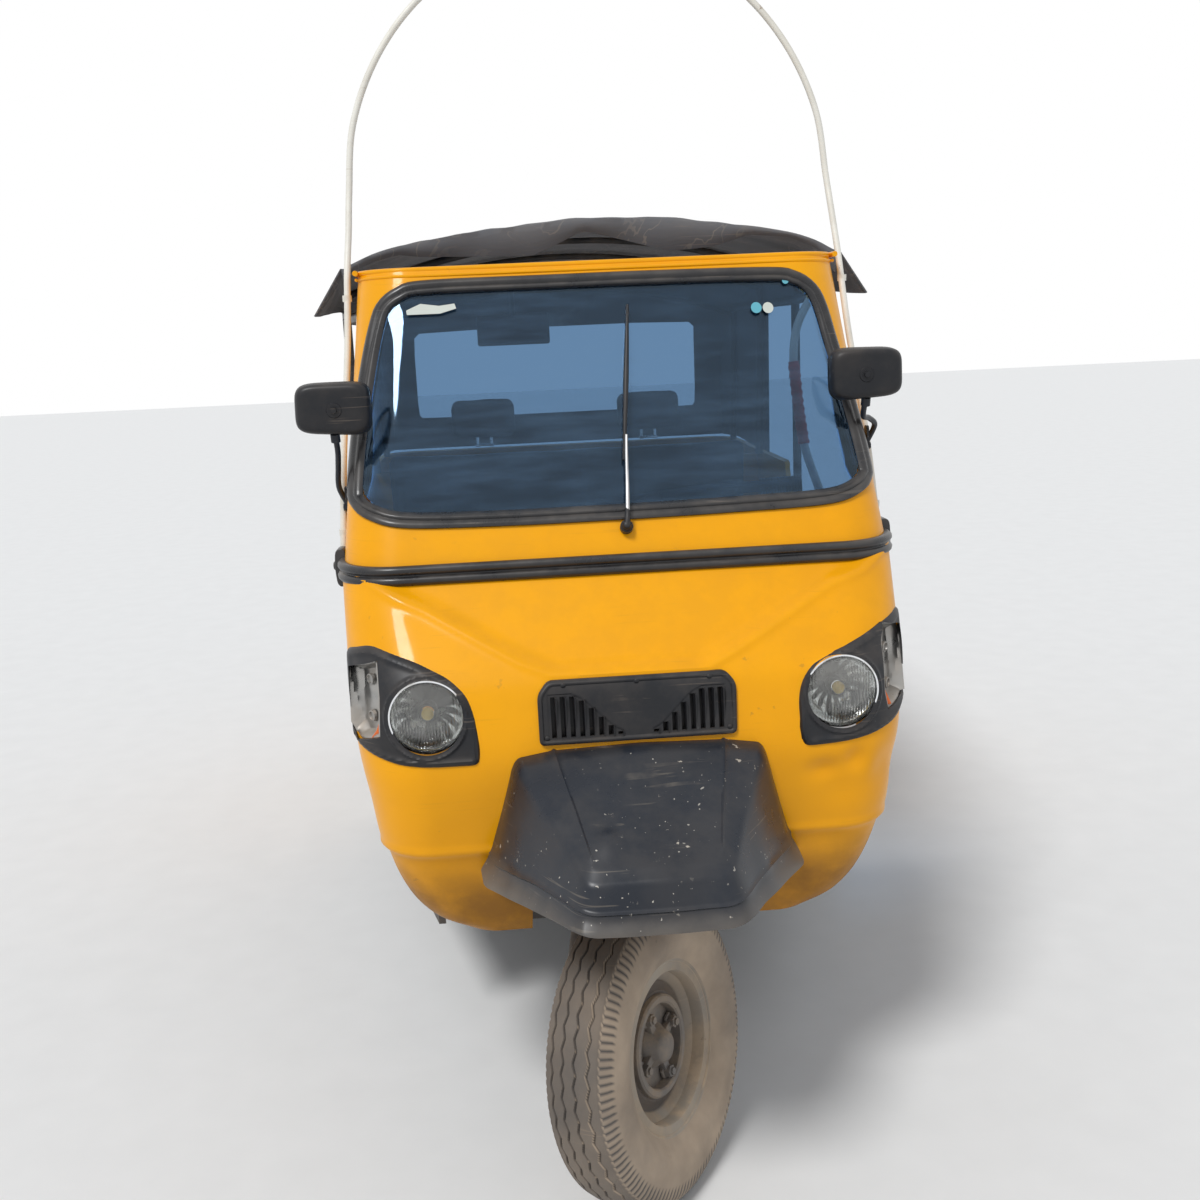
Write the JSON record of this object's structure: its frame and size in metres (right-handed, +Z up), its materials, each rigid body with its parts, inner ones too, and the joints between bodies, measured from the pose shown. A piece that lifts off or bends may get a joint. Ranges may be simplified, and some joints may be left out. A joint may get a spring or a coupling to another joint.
{
  "type": "auto rickshaw",
  "caption": "Three-wheeled passenger auto rickshaw with a lofted nose cowl, steered front wheel, canvas hood and rear engine with a hinged door.",
  "frame": {"origin": "on the ground, midway between the front and rear ends, on the centre plane", "axes": "+Z up, the front faces -Y, +X is the vehicle's left side"},
  "size_m": [1.33, 2.9, 2.2738],
  "materials": {
    "tyre_rubber": "dusty",
    "rim_paint": "dusty",
    "hub_iron": "dusty",
    "black_steel": "satin",
    "yellow_paint": "gloss",
    "black_plastic": "satin",
    "black_rubber": "satin",
    "screen_glass": "tinted",
    "lamp_glass": "clear",
    "mirror_face": "mirror",
    "lamp_chrome": "worn",
    "cream_paint": "satin",
    "hood_canvas": "dusty",
    "seat_vinyl": "satin",
    "lamp_red": "gloss",
    "sleeve_red": "worn",
    "engine_metal": "cast",
    "rust_steel": "rusty"
  },
  "bodies": {
    "body": {"chassis_frame": "black_steel", "floor_pan": "black_steel", "nose_cowl": "yellow_paint", "windscreen_frame": "yellow_paint", "windscreen_seal": "black_rubber", "windscreen_glass": "screen_glass", "belt_strip": "black_rubber", "grille_panel": "black_plastic", "headlamp_bezels": "black_plastic", "lamp_bowls": "lamp_chrome", "headlamp_glasses": "lamp_glass", "front_mudguard": "black_plastic", "wiper": "black_steel", "mirror_arms": "black_steel", "mirror_housings": "black_plastic", "mirror_glasses": "mirror_face", "hoop_rod": "cream_paint", "dash_shelf": "black_plastic", "driver_seat_base": "black_steel", "driver_cushion": "seat_vinyl", "driver_backrest": "seat_vinyl", "partition": "yellow_paint", "passenger_seat_base": "yellow_paint", "passenger_cushion": "seat_vinyl", "passenger_backrest": "seat_vinyl", "headrests": "seat_vinyl", "rear_body_sides": "yellow_paint", "tail_panel": "yellow_paint", "rear_bumper": "black_steel", "tail_lamps": "lamp_red", "canopy": "hood_canvas", "canopy_frame": "black_steel", "grab_pole": "sleeve_red", "inner_mirror": "black_plastic", "engine_block": "engine_metal", "silencer": "rust_steel", "rear_arms": "black_steel", "rear_springs": "black_steel"},
    "steering": {"front_fork": "black_steel", "front_link": "black_steel", "front_spring": "black_steel", "handlebar": "black_steel", "brake_hose": "black_rubber"},
    "front_wheel": {"front_tyre": "tyre_rubber", "front_rim": "rim_paint", "front_hub": "hub_iron"},
    "rear_wheel_left": {"rear_tyre_left": "tyre_rubber", "rear_rim_left": "rim_paint", "rear_hub_left": "hub_iron"},
    "rear_wheel_right": {"rear_tyre_right": "tyre_rubber", "rear_rim_right": "rim_paint", "rear_hub_right": "hub_iron"},
    "engine_door": {"engine_door": "yellow_paint"}
  },
  "joints": [
    {"name": "steering", "type": "hinge", "parent": "body", "child": "steering", "pos_m": [0, -1.15, 0.26834], "axis": [0, 0.2588, 0.9659], "range_deg": [-5, 75]},
    {"name": "front_wheel_spin", "type": "hinge", "parent": "steering", "child": "front_wheel", "pos_m": [0, -1.15, 0.26834], "axis": [0.8192, -0.554, 0.1485], "continuous": true},
    {"name": "rear_left_spin", "type": "hinge", "parent": "body", "child": "rear_wheel_left", "pos_m": [0.575, 0.855, 0.27], "axis": [1, 0, 0], "continuous": true},
    {"name": "rear_right_spin", "type": "hinge", "parent": "body", "child": "rear_wheel_right", "pos_m": [-0.575, 0.855, 0.27], "axis": [1, 0, 0], "continuous": true},
    {"name": "engine_door_hinge", "type": "hinge", "parent": "body", "child": "engine_door", "pos_m": [0, 1.427, 0.851], "axis": [1, 0, 0], "range_deg": [0, 75]}
  ]
}
